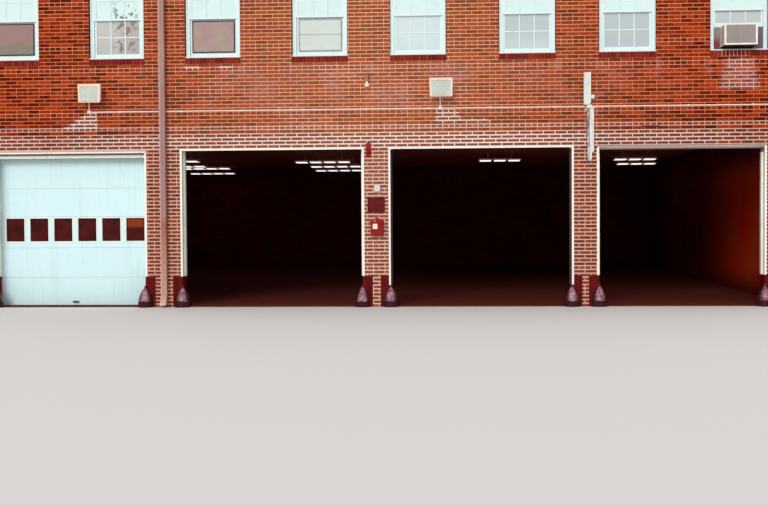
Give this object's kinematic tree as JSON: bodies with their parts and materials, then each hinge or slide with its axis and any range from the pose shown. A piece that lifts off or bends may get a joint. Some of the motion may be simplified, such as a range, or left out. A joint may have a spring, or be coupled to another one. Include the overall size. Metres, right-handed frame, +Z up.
{
  "type": "fire station building",
  "caption": "Two-storey brick fire station with open and closed vehicle bays between piers, sash windows above, wall fittings and a hipped slate roof.",
  "frame": {"origin": "on the ground, under the middle of the building", "axes": "+Z up; the street front with the vehicle bays faces -Y; +X is to the right seen from the street"},
  "size_m": [17.292, 19.45, 10.5275],
  "materials": {
    "brick": "orange-red brick in common bond with pale mortar and lime stains",
    "brick_sill": "dark red rowlock brick",
    "concrete": "worn concrete",
    "plaster": "painted plaster",
    "white_paint": "cool white gloss paint",
    "door_paint": "cool white enamel",
    "lining_paint": "white enamel on steel",
    "steel": "galvanised steel",
    "window_glass": "clear pane",
    "door_glass": "dark pane",
    "blind": "pale woven shade",
    "cast_guard": "dark maroon gloss paint, worn",
    "downspout_paint": "faded mauve-brown paint",
    "fitting_white": "weathered white enamel",
    "lamp_paint": "weathered cream enamel",
    "ac_case": "off-white case with a grey grille",
    "panel": "pleated side curtain",
    "light_box": "white box with a lit lens",
    "red_paint": "signal red gloss paint",
    "plaque_metal": "dark maroon plate, bare",
    "handle": "black paint",
    "eaves_paint": "white paint on boards",
    "gutter_paint": "white enamel",
    "roof_boards": "bare boards",
    "slate": "grey slate",
    "ridge": "dull lead grey"
  },
  "bodies": {
    "root": {"floor_slab": "concrete", "end_pier_left": "brick", "pier_1": "brick", "pier_2": "brick", "pier_3": "brick", "end_pier_right": "brick", "front_wall_upper": "brick", "left_wall": "brick", "right_wall": "brick", "rear_wall": "brick", "upper_floor": "plaster", "attic_floor": "plaster", "door_lintels": "steel", "brick_sills": "brick_sill", "front_window_frames": "white_paint", "other_window_frames": "white_paint", "front_upper_sashes": "white_paint", "front_lower_sashes": "white_paint", "other_window_sashes": "white_paint", "front_window_glass": "window_glass", "other_window_glass": "window_glass", "front_window_blinds": "blind", "other_window_blinds": "blind", "air_conditioner": "ac_case", "ac_side_panels": "panel", "door_jamb_linings": "lining_paint", "door_head_linings": "lining_paint", "closed_door_sections": "door_paint", "closed_door_glass": "door_glass", "closed_door_handle": "handle", "raised_door_sections": "door_paint", "raised_door_glass": "door_glass", "door_tracks": "lining_paint", "door_rails": "steel", "ceiling_lights": "light_box", "corner_guards": "cast_guard", "wheel_guards": "cast_guard", "downspout": "downspout_paint", "conduit": "fitting_white", "floodlights": "lamp_paint", "lamp_holder": "fitting_white", "wall_box": "fitting_white", "hanging_sleeve": "fitting_white", "junction_box": "fitting_white", "plaque": "plaque_metal", "call_box": "red_paint", "alarm_bell": "red_paint", "eaves_front_rear": "eaves_paint", "eaves_sides": "eaves_paint", "gutters_front_rear": "gutter_paint", "gutters_sides": "gutter_paint", "roof_deck": "roof_boards", "roof_slates": "slate", "ridge_caps": "ridge"}
  },
  "joints": []
}
